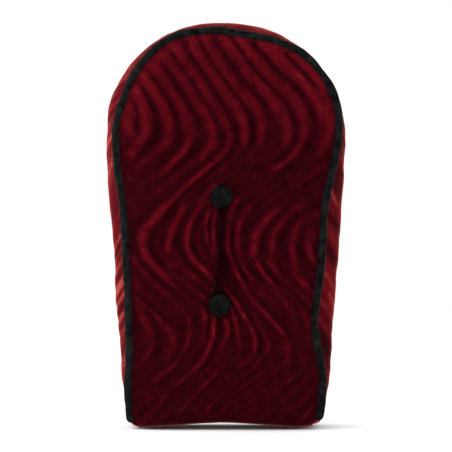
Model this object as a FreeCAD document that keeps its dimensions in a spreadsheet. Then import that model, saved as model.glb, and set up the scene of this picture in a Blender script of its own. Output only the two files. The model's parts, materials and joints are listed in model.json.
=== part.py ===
import FreeCAD, Part
import math
import os
import Sketcher

# An arched, button-tufted back pad on a plywood board, in millimetres.
# +X is across the pad, +Z is up and the front faces -Y. The pad stands on its bottom edge, and the
# origin is the middle of its footprint. From the front it is built up in layers: velvet, wadding,
# foam, board, velvet turned onto the board's back, staples, back cloth, staples.

SIZES = {
    # outline, seen from the front: a crown arc, two shoulder arcs and two tapering sides
    "overall_width": 240.0,
    "overall_height": 407.0,
    "crown_radius": 150.0,
    "shoulder_centre_x": 12.0,
    "side_taper": 4.6,
    "corner_radius": 12.0,
    # layers, from the front
    "velvet_thickness": 1.3,
    "wadding_thickness": 12.0,
    "foam_thickness": 38.0,
    "board_thickness": 12.0,
    "cloth_thickness": 0.4,
    "wadding_side": 5.0,
    # cover
    "crown_height": 9.0,
    "face_edge_radius": 8.0,
    "face_corner_radius": 12.0,
    "boxing_edge_radius": 8.0,
    "flap_width": 24.0,
    "wrap_width": 160.0,
    # piping
    "piping_inset": 9.0,
    "piping_diameter": 8.0,
    "cord_diameter": 5.0,
    "piping_end_height": 8.0,
    # covered buttons
    "button_diameter": 22.2,
    "button_height": 7.0,
    "button_rim": 2.2,
    "button_cover_thickness": 1.0,
    "button_sheet": 0.5,
    "button_opening": 13.0,
    "upper_button_x": -4.5,
    "upper_button_z": 233.0,
    "lower_button_x": -6.5,
    "lower_button_z": 124.0,
    "dimple_diameter": 62.0,
    "dimple_floor_gap": 1.4,
    "dimple_depth": 11.0,
    # twine and its wire loop
    "loop_radius": 3.0,
    "loop_wire": 1.2,
    "twine_diameter": 1.2,
    "twine_bend": 2.5,
    "twine_tail": 22.0,
    "tuft_hole": 8.0,
    # staples
    "staple_wire": 0.6,
    "staple_width": 0.9,
    "staple_crown": 10.0,
    "staple_leg": 8.0,
    "cover_staple_inset": 14.0,
    "cover_staple_pitch": 24.0,
    "cloth_inset": 11.0,
    "cloth_staple_inset": 19.0,
    "cloth_staple_pitch": 40.0,
    # T-nuts for M6 bolts
    "nut_spacing_across": 100.0,
    "nut_spacing_up": 180.0,
    "nut_centre_z": 190.0,
    "nut_bore": 5.0,
    "nut_barrel": 8.0,
    "nut_length": 9.0,
    "nut_flange": 19.0,
    "nut_flange_thickness": 1.5,
    "nut_prong_length": 6.0,
    "nut_prong_thickness": 1.2,
    "bolt_clear_hole": 12.0,
    # clearance between pieces that fit round one another
    "fit_clearance": 0.05,
}

LAYERS = (
    "velvet_thickness",
    "wadding_thickness",
    "foam_thickness",
    "board_thickness",
    "velvet_thickness",
    "staple_wire",
    "cloth_thickness",
    "staple_wire",
)
# planes of the pad, as the number of layers in front of each
FRONT, BOARD, BOARD_BACK, FLAP_BACK, CLOTH_BACK = 0, 3, 4, 5, 7

doc = FreeCAD.newDocument("back_pad")
sheet = doc.addObject("Spreadsheet::Sheet", "sizes")
for row, (alias, value) in enumerate(SIZES.items(), start=1):
    sheet.set(f"A{row}", alias)
    sheet.set(f"B{row}", str(value))
    sheet.setAlias(f"B{row}", alias)
doc.recompute()


def size(alias):
    """The sheet's value of one size."""
    return float(sheet.get(alias))


def total(plus, minus=()):
    """Sum of some sizes less some others, as a number."""
    return sum(size(alias) for alias in plus) - sum(size(alias) for alias in minus)


def less(minus):
    """The end of an expression that takes some sizes off."""
    return "".join(f" - sizes.{alias}" for alias in minus)


def term(plus, minus=()):
    """The same sum as an expression on the sheet."""
    return (" + ".join(f"sizes.{alias}" for alias in plus) or "0") + less(minus)


def y_of(level, plus=(), minus=()):
    """Y of a plane of the pad, moved back by some sizes, as a number."""
    return total(LAYERS[:level] + tuple(plus), minus) - total(LAYERS) / 2


def y_term(level, plus=(), minus=()):
    """The same Y as an expression."""
    return f"({term(LAYERS[:level] + tuple(plus), minus)}) - ({term(LAYERS)}) / 2"


def bind(item, **terms):
    """Binds properties of an object to expressions; __ in a name stands for a dot."""
    for name, text in terms.items():
        item.setExpression(name.replace("__", "."), text)
    return item


# ---- outlines ----

SHOULDER_X = "sizes.shoulder_centre_x"
SHOULDER_RADIUS = "sizes.overall_width / 2 - sizes.shoulder_centre_x"


def arch_geometry(inset, bottom, corner):
    """Centres and radii of the arch outline's arcs, moved in by an inset, and two angles.

    The shoulders touch the crown from inside, so their height follows from the radii. Each side runs
    down from its shoulder at the taper and touches a corner arc.
    """
    taper = math.radians(size("side_taper"))
    shoulder_x = size("shoulder_centre_x")
    shoulder_radius = size("overall_width") / 2 - shoulder_x
    crown_z = size("overall_height") - size("crown_radius")
    rise = math.sqrt((size("crown_radius") - shoulder_radius) ** 2 - shoulder_x**2)
    shoulder_z = crown_z + rise
    reach = math.cos(taper) * shoulder_x - math.sin(taper) * shoulder_z + shoulder_radius - inset
    corner_z = bottom + corner
    corner_x = (reach - corner + math.sin(taper) * corner_z) / math.cos(taper)
    return {
        "crown": (0.0, crown_z, size("crown_radius") - inset),
        "shoulder": (shoulder_x, shoulder_z, shoulder_radius - inset),
        "corner": (corner_x, corner_z, corner),
        "join": math.atan2(rise, shoulder_x),
        "taper": taper,
    }


def sketch_arc(sketch, centre, start, end, side=1):
    """Adds an arc to a sketch, mirrored to the left when side is -1."""
    x, z, radius = centre
    if side < 0:
        start, end = math.pi - end, math.pi - start
    circle = Part.Circle(FreeCAD.Vector(side * x, z, 0), FreeCAD.Vector(0, 0, 1), radius)
    return sketch.addGeometry(Part.ArcOfCircle(circle, start, end))


def arc_point(centre, angle, side):
    x, z, radius = centre
    return FreeCAD.Vector(side * (x + radius * math.cos(angle)), z + radius * math.sin(angle), 0)


def constrain(sketch, name, text, kind, *where):
    """Adds a constraint with a datum, which an expression then drives."""
    index = sketch.addConstraint(Sketcher.Constraint(kind, *where))
    sketch.renameConstraint(index, name)
    sketch.setExpression(f"Constraints.{name}", text)


def draw_arch(sketch, inset, bottom=None, corner=None, end_height=None):
    """Draws the arch outline, moved in by the sum of the inset sizes.

    Closed, it has a bottom line and two corner arcs; corner holds the sizes to add and those to take
    off. With an end height it is open, and its sides stop there.
    """
    bottom = inset if bottom is None else bottom
    corner = corner or (("corner_radius",), inset)
    if end_height:
        bottom, corner = (end_height,), ((), ())
    shape = arch_geometry(total(inset), total(bottom), total(*corner))
    crown, shoulder, foot = shape["crown"], shape["shoulder"], shape["corner"]
    join, taper = shape["join"], shape["taper"]

    arch = sketch_arc(sketch, crown, join, math.pi - join)
    sketch.addConstraint(Sketcher.Constraint("PointOnObject", arch, 3, -2))
    constrain(sketch, "crown_radius", term(("crown_radius",), inset), "Radius", arch, crown[2])
    crown_z = term(("overall_height",), ("crown_radius",))
    constrain(sketch, "crown_z", crown_z, "DistanceY", -1, 1, arch, 3, crown[1])
    lows = {}
    for side, word in ((1, "right"), (-1, "left")):
        turn = sketch_arc(sketch, shoulder, -taper, join, side)
        arch_end, side_end = (2, 1) if side > 0 else (1, 2)
        low = sketch.addGeometry(
            Part.LineSegment(arc_point(shoulder, -taper, side), arc_point(foot, -taper, side))
        )
        sketch.addConstraint(Sketcher.Constraint("Tangent", turn, arch_end, arch, side_end))
        sketch.addConstraint(Sketcher.Constraint("Tangent", turn, side_end, low, 1))
        radius = SHOULDER_RADIUS + less(inset)
        constrain(sketch, f"{word}_radius", radius, "Radius", turn, shoulder[2])
        ends = (-1, 1, turn, 3) if side > 0 else (turn, 3, -1, 1)
        constrain(sketch, f"{word}_x", SHOULDER_X, "DistanceX", *ends, shoulder[0])
        slope = f"(-90 - {side} * sizes.side_taper) * 1 deg"
        constrain(sketch, f"{word}_slope", slope, "Angle", low, -math.pi / 2 - side * taper)
        lows[side] = low
    if end_height:
        for side, word in ((1, "right"), (-1, "left")):
            end = term((end_height,))
            constrain(sketch, f"{word}_end", end, "DistanceY", -1, 1, lows[side], 2, size(end_height))
        return sketch

    left, right = (FreeCAD.Vector(side * foot[0], total(bottom), 0) for side in (-1, 1))
    base = sketch.addGeometry(Part.LineSegment(left, right))
    sketch.addConstraint(Sketcher.Constraint("Horizontal", base))
    if total(bottom):
        constrain(sketch, "bottom", term(bottom), "DistanceY", -1, 1, base, 1, total(bottom))
    else:
        sketch.addConstraint(Sketcher.Constraint("PointOnObject", base, 1, -1))
    for side, word in ((1, "right"), (-1, "left")):
        turn = sketch_arc(sketch, foot, -math.pi / 2, -taper, side)
        base_end, side_end = (1, 2) if side > 0 else (2, 1)
        sketch.addConstraint(Sketcher.Constraint("Tangent", turn, side_end, lows[side], 2))
        sketch.addConstraint(Sketcher.Constraint("Tangent", turn, base_end, base, side_end))
        constrain(sketch, f"{word}_corner", term(*corner), "Radius", turn, total(*corner))
    return sketch


# ---- bodies seen from the front ----


def origin_plane(body, role):
    return next(item for item in body.Origin.OriginFeatures if item.Role == role)


def new_body(label):
    body = doc.addObject("PartDesign::Body", label)
    body.Label = label
    return body


def front_sketch(body, name, level, plus=()):
    """A sketch seen from the front, on a plane of the pad moved back by some sizes."""
    sketch = body.newObject("Sketcher::SketchObject", name)
    sketch.AttachmentSupport = [(origin_plane(body, "XZ_Plane"), "")]
    sketch.MapMode = "FlatFace"
    sketch.setExpression("AttachmentOffset.Base.z", f"-({y_term(level, plus)})")
    return sketch


def pad(body, sketch, length):
    """Pads a front sketch forwards, towards -Y."""
    feature = body.newObject("PartDesign::Pad", f"{sketch.Name}_pad")
    feature.Profile = sketch
    feature.setExpression("Length", length)
    doc.recompute()
    return feature


def round_front(body, feature, y, radius):
    """Rounds the edges that lie in the plane at y."""
    names = [
        f"Edge{number}"
        for number, edge in enumerate(feature.Shape.Edges, start=1)
        if all(abs(point.y - y) < 1e-4 for point in edge.discretize(5))
    ]
    fillet = body.newObject("PartDesign::Fillet", f"{feature.Name}_round")
    fillet.Base = (feature, names)
    fillet.setExpression("Radius", radius)
    doc.recompute()


def slab(label, inset, level, length, corner=None):
    """A plain slab of the arch outline, padded forwards from a plane of the pad."""
    body = new_body(label)
    sketch = front_sketch(body, f"{label}_outline", level)
    draw_arch(sketch, inset, corner=corner)
    pad(body, sketch, term(length))
    return body


def cover_form(label, back_level, skin):
    """The stuffed pad's form, moved in by the skin sizes.

    A box with a rounded front edge, the boxing, carries a smaller rounded step, the front panel.
    The step is flush with the box along the bottom, where no piping runs.
    """
    body = new_body(label)
    box = front_sketch(body, f"{label}_box", back_level)
    draw_arch(box, skin)
    box_pad = pad(body, box, term(LAYERS[:back_level], ("crown_height",) + skin))
    round_front(body, box_pad, y_of(FRONT, ("crown_height",) + skin), term(("boxing_edge_radius",), skin))
    step = front_sketch(body, f"{label}_step", FRONT, ("crown_height", "boxing_edge_radius"))
    draw_arch(step, ("piping_inset",) + skin, skin, (("face_corner_radius",), skin))
    step_pad = pad(body, step, term(("crown_height", "boxing_edge_radius"), skin))
    round_front(body, step_pad, y_of(FRONT, skin), term(("face_edge_radius",), skin))
    return body


def piping_body(label, outer, inner=None):
    """A round bar or tube along the arch at the seam, from end to end of the piping."""
    body = new_body(label)
    path = front_sketch(body, f"{label}_path", FRONT, ("crown_height",))
    draw_arch(path, ("piping_inset",), end_height="piping_end_height")
    doc.recompute()
    ring = body.newObject("Sketcher::SketchObject", f"{label}_section")
    ring.AttachmentSupport = [(path, "Edge3")]
    ring.MapMode = "NormalToEdge"
    ring.MapPathParameter = 1.0
    for number, diameter in enumerate(filter(None, (outer, inner))):
        circle = Part.Circle(FreeCAD.Vector(0, 0, 0), FreeCAD.Vector(0, 0, 1), total(*diameter) / 2)
        where = ring.addGeometry(circle)
        ring.addConstraint(Sketcher.Constraint("Coincident", where, 3, -1, 1))
        constrain(ring, f"diameter_{number}", term(*diameter), "Diameter", where, total(*diameter))
    pipe = body.newObject("PartDesign::AdditivePipe", f"{label}_pipe")
    pipe.Profile = ring
    pipe.Spine = (path, [])
    doc.recompute()
    return body


# ---- primitives and booleans ----

TO_FRONT = FreeCAD.Rotation(FreeCAD.Vector(1, 0, 0), 90)
TO_BACK = FreeCAD.Rotation(FreeCAD.Vector(1, 0, 0), -90)
MARGIN = 10


def primitive(kind, label, **terms):
    item = doc.addObject(f"Part::{kind}", label)
    item.Label = label
    return bind(item, **terms)


def place(item, x, y, z, rotation=None):
    """Binds an object's place to three expressions."""
    item.Placement = FreeCAD.Placement(FreeCAD.Vector(0, 0, 0), rotation or FreeCAD.Rotation())
    return bind(item, Placement__Base__x=x, Placement__Base__y=y, Placement__Base__z=z)


def boolean(kind, label, first, second):
    item = doc.addObject(f"Part::{kind}", label)
    item.Label = label
    item.Base = first
    item.Tool = second
    doc.recompute()
    return item


def cut(label, base, *tools):
    """The base less each tool in turn."""
    for tool in tools[:-1]:
        base = boolean("Cut", f"{label}_less_{tool.Label}", base, tool)
    return boolean("Cut", label, base, tools[-1])


def group(label, *items):
    item = doc.addObject("Part::Compound", label)
    item.Label = label
    item.Links = list(items)
    return item


def solid_object(label, shape):
    item = doc.addObject("Part::Feature", label)
    item.Label = label
    item.Shape = shape
    return item


def hole(label, diameter, x, z):
    """A cylinder along Y through the whole pad."""
    item = primitive("Cylinder", label, Radius=f"{diameter} / 2", Height=term(LAYERS))
    return place(item, x, y_term(FRONT), z, TO_BACK)


# ---- covered buttons, their loops and twines ----

TUFTS = ("upper", "lower")
BUTTON_BULGE = "(sizes.button_height - sizes.button_rim)"
DOME_RADIUS = f"((sizes.button_diameter / 2) ^ 2 + {BUTTON_BULGE} ^ 2) / (2 * {BUTTON_BULGE})"
DIMPLE_FLOOR = y_term(FRONT, ("dimple_depth",))
PLATE_BACK = y_term(FRONT, ("dimple_depth",), ("button_cover_thickness",))


def tuft_at(name):
    return f"sizes.{name}_button_x", f"sizes.{name}_button_z"


def dimple(name, shift):
    """A cone that sinks the cover around a button, its mouth the shift sizes behind the front and its
    floor a gap wider than the button all round."""
    cone = primitive(
        "Cone",
        f"{name}_dimple" + "_inside" * bool(shift),
        Radius1="sizes.dimple_diameter / 2",
        Radius2="sizes.button_diameter / 2 + sizes.dimple_floor_gap",
        Height="sizes.dimple_depth",
    )
    x, z = tuft_at(name)
    return place(cone, x, y_term(FRONT, shift), z, TO_BACK)


def dome(label, inset, base):
    """A button's form, moved in by the inset sizes: a cylinder on its base under a ball."""
    ball = primitive("Sphere", f"{label}_ball", Radius=f"{DOME_RADIUS}{less(inset)}")
    place(ball, "0", "0", f"sizes.button_height - {DOME_RADIUS}")
    rim = primitive(
        "Cylinder",
        f"{label}_rim",
        Radius=f"sizes.button_diameter / 2{less(inset)}",
        Height=f"sizes.button_height{less(inset + base)}",
    )
    place(rim, "0", "0", term(base))
    return boolean("Common", label, ball, rim)


def covered_button(name):
    """Cover, shell and back plate of one button, and the wire loop behind the plate."""
    cover, sheet_metal = ("button_cover_thickness",), ("button_sheet",)
    outside = dome(f"{name}_button_outside", (), ())
    filled = dome(f"{name}_button_filled", cover, cover)
    hollow = dome(f"{name}_button_hollow", cover + sheet_metal, cover)
    mouth = primitive(
        "Cylinder",
        f"{name}_button_mouth",
        Radius="sizes.button_opening / 2",
        Height="sizes.button_cover_thickness",
    )
    plate = primitive(
        "Cylinder",
        f"{name}_button_plate",
        Radius=f"sizes.button_diameter / 2{less(cover + sheet_metal + ('fit_clearance',))}",
        Height="sizes.button_sheet",
    )
    x, z = tuft_at(name)
    pieces = [
        place(cut(f"{name}_button_cover", outside, filled, mouth), x, DIMPLE_FLOOR, z, TO_FRONT),
        place(cut(f"{name}_button_shell", filled, hollow), x, DIMPLE_FLOOR, z, TO_FRONT),
        place(plate, x, PLATE_BACK, z, TO_FRONT),
    ]
    loop = primitive(
        "Torus",
        f"{name}_button_loop",
        Radius1="sizes.loop_radius",
        Radius2="sizes.loop_wire / 2",
        Angle3="180 deg",
    )
    return pieces + [place(loop, x, PLATE_BACK, z)]


def twine(name):
    """One twine: hooked round the loop, two strands back through the board, ends laid flat on it."""
    x, z = size(f"{name}_button_x"), size(f"{name}_button_z")
    radius = size("twine_diameter") / 2
    hook = size("loop_wire") / 2 + radius + size("fit_clearance")
    bend, tail = size("twine_bend"), size("twine_tail")
    y_hook = y_of(FRONT, ("dimple_depth", "loop_radius"), ("button_cover_thickness",))
    y_flat = y_of(BOARD_BACK) + radius + size("fit_clearance")
    diagonal = bend * math.sqrt(0.5)

    def point(y, up):
        return FreeCAD.Vector(x, y, z + up)

    def strand(side):
        """Edges from the flat end to the hook, above the button for side 1 and below it for -1."""
        end = point(y_flat, side * (hook + bend + tail))
        flat = point(y_flat, side * (hook + bend))
        middle = point(y_flat - bend + diagonal, side * (hook + bend - diagonal))
        inside = point(y_flat - bend, side * hook)
        front = point(y_hook, side * hook)
        return [
            Part.LineSegment(end, flat).toShape(),
            Part.Arc(flat, middle, inside).toShape(),
            Part.LineSegment(inside, front).toShape(),
        ]

    turn = Part.Arc(point(y_hook, hook), point(y_hook - hook, 0), point(y_hook, -hook)).toShape()
    below = [edge.reversed() for edge in reversed(strand(-1))]
    path = Part.Wire(strand(1) + [turn] + below)
    end = point(y_flat, hook + bend + tail)
    section = Part.Wire(Part.Circle(end, FreeCAD.Vector(0, 0, 1), radius).toShape())
    return solid_object(f"{name}_twine", path.makePipeShell([section], True, False))


# ---- staples and T-nuts ----


def staple(lift=0.0):
    """A staple with its crown along X, lifted off the face it is driven into, and legs towards -Y."""
    wire, width, crown = size("staple_wire"), size("staple_width"), size("staple_crown")
    leg = size("staple_leg")
    shape = Part.makeBox(crown, wire, width, FreeCAD.Vector(-crown / 2, lift, -width / 2))
    for x in (-crown / 2, crown / 2 - wire):
        shape = shape.fuse(Part.makeBox(wire, leg, width, FreeCAD.Vector(x, lift - leg, -width / 2)))
    return shape.removeSplitter()


def staple_row(label, inset, pitch, level):
    """Staples end to end along the closed arch outline, on a plane of the pad."""
    line = doc.addObject("Sketcher::SketchObject", f"{label}_line")
    draw_arch(line, (inset,), corner=(("corner_radius",), ()))
    doc.recompute()
    wire = Part.Wire(Part.__sortEdges__(line.Shape.Edges))
    count = round(wire.Length / size(pitch))
    points = wire.discretize(Number=2 * count + 1)
    row_of_staples = []
    for number in range(1, 2 * count, 2):
        along = points[number + 1] - points[number - 1]
        turn = FreeCAD.Rotation(FreeCAD.Vector(0, 1, 0), -math.degrees(math.atan2(along.y, along.x)))
        where = FreeCAD.Vector(points[number].x, y_of(level), points[number].y)
        one = staple()
        one.Placement = FreeCAD.Placement(where, turn)
        row_of_staples.append(one)
    return solid_object(label, Part.makeCompound(row_of_staples))


def twine_staples():
    """Two staples over each flat end of each twine."""
    lift = size("twine_diameter") + 2 * size("fit_clearance")
    bend = size("twine_bend") + size("twine_diameter")
    row_of_staples = []
    for name in TUFTS:
        for side in (1, -1):
            for share in (0.4, 0.8):
                up = side * (bend + share * size("twine_tail"))
                one = staple(lift)
                one.translate(
                    FreeCAD.Vector(size(f"{name}_button_x"), y_of(BOARD_BACK), size(f"{name}_button_z") + up)
                )
                row_of_staples.append(one)
    return solid_object("twine_staples", Part.makeCompound(row_of_staples))


def t_nut():
    """A T-nut with its flange's front face at the origin and its barrel towards +Y."""
    back = FreeCAD.Vector(0, 1, 0)
    start = FreeCAD.Vector(0, 0, 0)
    flange_radius, prong = size("nut_flange") / 2, size("nut_prong_thickness")
    shape = Part.makeCylinder(flange_radius, size("nut_flange_thickness"), start, back)
    shape = shape.fuse(Part.makeCylinder(size("nut_barrel") / 2, size("nut_length"), start, back))
    for quarter in range(4):
        corner = FreeCAD.Vector(flange_radius - 2 * prong, 0, -prong)
        spike = Part.makeBox(prong, size("nut_prong_length"), 2 * prong, corner)
        spike.rotate(start, back, 45 + 90 * quarter)
        shape = shape.fuse(spike)
    bore = Part.makeCylinder(size("nut_bore") / 2, size("nut_length"), start, back)
    return shape.cut(bore).removeSplitter()


def nut_places():
    across, up = size("nut_spacing_across") / 2, size("nut_spacing_up") / 2
    return [(x, size("nut_centre_z") + rise) for x in (-across, across) for rise in (-up, up)]


def t_nuts():
    nuts = []
    for x, z in nut_places():
        nut = t_nut()
        nut.translate(FreeCAD.Vector(x, y_of(BOARD), z))
        nuts.append(nut)
    return solid_object("t_nuts", Part.makeCompound(nuts))


def nut_holes(label, diameter):
    """One hole through the pad behind each T-nut."""
    holes = []
    for column, across in enumerate(("-", "")):
        for line, rise in enumerate(("-", "+")):
            x = f"{across}sizes.nut_spacing_across / 2"
            z = f"sizes.nut_centre_z {rise} sizes.nut_spacing_up / 2"
            holes.append(hole(f"{label}_{column}{line}", f"sizes.{diameter}", x, z))
    return group(label, *holes)


# ---- the pad ----

SKIN = ("velvet_thickness",)
FILLING = ("velvet_thickness", "wadding_side")
PLAIN_CORNER = (("corner_radius",), ())

cover_outside = cover_form("cover_outside", FLAP_BACK, ())
cover_inside = cover_form("cover_inside", BOARD_BACK, SKIN)
back_opening = slab("back_opening", ("flap_width",), FLAP_BACK, SKIN, PLAIN_CORNER)
board_blank = slab("board_blank", FILLING, BOARD_BACK, ("board_thickness",))
foam_blank = slab("foam_blank", FILLING, BOARD, ("foam_thickness",))
cloth_blank = slab("cloth_blank", ("cloth_inset",), CLOTH_BACK, ("cloth_thickness",), PLAIN_CORNER)

piping_cover = piping_body(
    "piping_cover", (("piping_diameter",), ()), (("cord_diameter", "fit_clearance"), ())
)
piping_cord = piping_body("piping_cord", (("cord_diameter",), ()))
piping_channel = piping_body("piping_channel", (("piping_diameter", "fit_clearance"), ()))

hardware = [piece for name in TUFTS for piece in covered_button(name)]
twines = [twine(name) for name in TUFTS]
cover_staples = staple_row("cover_staples", "cover_staple_inset", "cover_staple_pitch", FLAP_BACK)
cloth_staples = staple_row("cloth_staples", "cloth_staple_inset", "cloth_staple_pitch", CLOTH_BACK)
held_twine = twine_staples()
nuts = t_nuts()
tuft_holes = group("tuft_holes", *(hole(f"{name}_tuft", "sizes.tuft_hole", *tuft_at(name)) for name in TUFTS))
barrel_holes = nut_holes("barrel_holes", "nut_barrel")
clear_holes = nut_holes("clear_holes", "bolt_clear_hole")

outside_dimpled = cut("outside_dimpled", cover_outside, *(dimple(name, ()) for name in TUFTS))
inside_dimpled = cut("inside_dimpled", cover_inside, *(dimple(name, SKIN) for name in TUFTS))
cover_skin = cut(
    "cover_skin",
    outside_dimpled,
    inside_dimpled,
    back_opening,
    piping_channel,
    tuft_holes,
    cover_staples,
    cloth_staples,
)

# The front panel is the skin inside the piping, in front of the seam, and under the bottom edge.
inside_piping = slab(
    "inside_piping", ("piping_inset", "piping_diameter"), BOARD, LAYERS[:BOARD], PLAIN_CORNER
)
ahead = primitive(
    "Box",
    "ahead_of_seam",
    Length=f"sizes.overall_width + {2 * MARGIN}",
    Width=f"sizes.crown_height + {MARGIN}",
    Height=f"sizes.overall_height + {2 * MARGIN}",
)
place(ahead, f"-sizes.overall_width / 2 - {MARGIN}", f"{y_term(FRONT)} - {MARGIN}", f"-{MARGIN}")
under = primitive(
    "Box",
    "under_bottom_edge",
    Length="sizes.wrap_width",
    Width=term(LAYERS),
    Height=f"sizes.flap_width + {2 * MARGIN}",
)
place(under, "-sizes.wrap_width / 2", y_term(FRONT), f"-{MARGIN}")
front_region = boolean("Fuse", "front_region", boolean("Fuse", "face_region", ahead, inside_piping), under)

cover = [
    boolean("Common", "front_panel", cover_skin, front_region),
    boolean("Cut", "side_boxing", cover_skin, front_region),
    cut("wadding", inside_dimpled, foam_blank, board_blank, piping_channel, tuft_holes),
    cut("foam_core", foam_blank, tuft_holes),
    cut(
        "back_board",
        board_blank,
        tuft_holes,
        nuts,
        barrel_holes,
        cover_staples,
        cloth_staples,
        held_twine,
    ),
    cut("back_cloth", cloth_blank, clear_holes, cloth_staples),
    piping_cover,
    piping_cord,
]
fixings = [cover_staples, cloth_staples, held_twine, nuts]

# ---- checks and export ----

doc.recompute()
for item in doc.Objects:
    if {"Invalid", "Error"} & set(item.State):
        raise RuntimeError(f"{item.Label} is in state {item.State}")

os.makedirs("parts", exist_ok=True)
nodes = cover + hardware + twines + fixings
for node in nodes:
    if node.Shape.isNull() or not node.Shape.isValid() or not node.Shape.Solids:
        raise RuntimeError(f"{node.Label} has no valid solid")
for node in nodes:
    node.Shape.exportStep(f"parts/{node.Label}.step")
    print(f"{node.Label}: {len(node.Shape.Solids)} solids, {node.Shape.Volume:.0f} mm3")
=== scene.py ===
import json
import math

import bmesh
import bpy
import numpy as np
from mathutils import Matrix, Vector


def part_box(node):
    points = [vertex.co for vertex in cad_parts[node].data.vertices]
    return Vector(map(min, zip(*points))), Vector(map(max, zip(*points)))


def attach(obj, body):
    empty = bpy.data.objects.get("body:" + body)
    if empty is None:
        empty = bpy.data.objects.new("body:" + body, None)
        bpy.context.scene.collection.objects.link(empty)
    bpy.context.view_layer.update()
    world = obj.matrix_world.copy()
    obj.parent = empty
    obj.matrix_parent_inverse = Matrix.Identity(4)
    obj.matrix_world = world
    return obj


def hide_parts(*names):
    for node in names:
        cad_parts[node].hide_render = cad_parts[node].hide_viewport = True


bl_info = {
    "name": "Upholstered Back Pad",
    "version": (1, 0, 0),
    "blender": (4, 5, 0),
    "location": "View3D > Sidebar > Back Pad",
    "description": "Dresses an arched, buttoned back pad in crushed velvet, piping and dust cloth",
    "category": "Object",
}

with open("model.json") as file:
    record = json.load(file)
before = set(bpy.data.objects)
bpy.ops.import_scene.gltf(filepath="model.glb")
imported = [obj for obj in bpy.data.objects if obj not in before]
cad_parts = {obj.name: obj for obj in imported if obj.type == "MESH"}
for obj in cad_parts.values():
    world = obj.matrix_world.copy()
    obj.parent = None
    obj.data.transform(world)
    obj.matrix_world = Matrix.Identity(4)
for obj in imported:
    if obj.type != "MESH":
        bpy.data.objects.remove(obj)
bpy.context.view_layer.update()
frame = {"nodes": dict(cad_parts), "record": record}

# Lengths below are in millimetres, in the CAD frame: X across, Y from front (negative) to back, Z up.
MM = 0.001


def node_box(node):
    """Lowest and highest corner of a CAD node, in millimetres."""
    low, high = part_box(node)
    return np.array(low) / MM, np.array(high) / MM


# The cut of the pad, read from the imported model. The seam lies SEAM_BACK behind the foremost point.
SEAM_BACK = 9.0
BOXING_LOW, BOXING_HIGH = node_box("side_boxing")
PANEL_LOW, PANEL_HIGH = node_box("front_panel")
BOARD_LOW, BOARD_HIGH = node_box("back_board")
CLOTH_LOW = node_box("back_cloth")[0]
WIDTH = BOXING_HIGH[0] - BOXING_LOW[0]
HEIGHT = BOXING_HIGH[2] - PANEL_LOW[2]
FRONT_Y = PANEL_LOW[1]
FLAP_Y = PANEL_HIGH[1]
SEAM_Y = FRONT_Y + SEAM_BACK
BUTTONS = {side: sum(node_box(side + "_button_cover")) / 2 for side in ("upper", "lower")}

# The four bolt holes, from the mounts in the record, and the size they are cut to in the dust cloth.
BOLTS = next(mount for mount in frame["record"]["mounts"] if mount["name"] == "back_bolts")
BOLTS_ACROSS = BOLTS["dims"]["spacing_x_mm"]
BOLTS_UP = BOLTS["dims"]["spacing_y_mm"]
BOLTS_MIDDLE = BOLTS["pos_m"][2] / MM
BOLT_HOLE = 12.0

# The arch: a flat crown arc between two shoulder arcs, sides that draw in downwards, rounded lower corners.
CROWN_RADIUS = 150.0
SHOULDER_CENTRE = 12.0
SHOULDER_RADIUS = WIDTH / 2 - SHOULDER_CENTRE
SIDE_TAPER = math.radians(4.6)
CORNER_RADIUS = 12.0
CROWN_TURN = math.asin(SHOULDER_CENTRE / (CROWN_RADIUS - SHOULDER_RADIUS))
SHOULDER_HEIGHT = HEIGHT - CROWN_RADIUS + math.cos(CROWN_TURN) * (CROWN_RADIUS - SHOULDER_RADIUS)
SIDE_TURN = math.pi / 2 + SIDE_TAPER
CROWN_END = CROWN_RADIUS * CROWN_TURN
SHOULDER_END = CROWN_END + SHOULDER_RADIUS * (SIDE_TURN - CROWN_TURN)
SIDE_START = (
    SHOULDER_CENTRE + SHOULDER_RADIUS * math.cos(SIDE_TAPER),
    SHOULDER_HEIGHT - SHOULDER_RADIUS * math.sin(SIDE_TAPER),
)
SIDE_LENGTH = (SIDE_START[1] - CORNER_RADIUS * (1 - math.sin(SIDE_TAPER))) / math.cos(SIDE_TAPER)
SIDE_END = SHOULDER_END + SIDE_LENGTH
CORNER_CENTRE = (
    SIDE_START[0] - math.sin(SIDE_TAPER) * SIDE_LENGTH - CORNER_RADIUS * math.cos(SIDE_TAPER),
    CORNER_RADIUS,
)
CORNER_END = SIDE_END + CORNER_RADIUS * (math.pi - SIDE_TURN)
HALF_GIRTH = CORNER_END + CORNER_CENTRE[0]

# How far the piping stands in from the silhouette, by distance along the outline from the crown's top: the
# sewn line wanders, and draws in most at the lower right. The last two stations are the turned-under front.
LEFT_INSET = ((0, 9.5), (25, 7), (55, 4), (85, 7.5), (115, 10), (150, 12.5), (180, 10), (205, 8.5),
              (240, 11), (290, 11.5), (330, 9.8), (370, 8.5), (405, 6), (430, 3), (450, 1.5), (470, 0.5),
              (495, 4), (575, 8))
RIGHT_INSET = ((0, 10), (35, 11), (60, 9.5), (85, 6.5), (130, 5.5), (170, 6.2), (210, 9.5), (258, 16.5),
               (290, 14.5), (335, 15.5), (375, 17.5), (400, 11.5), (425, 4), (450, 2.5), (470, 4), (495, 6),
               (575, 8))
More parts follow.
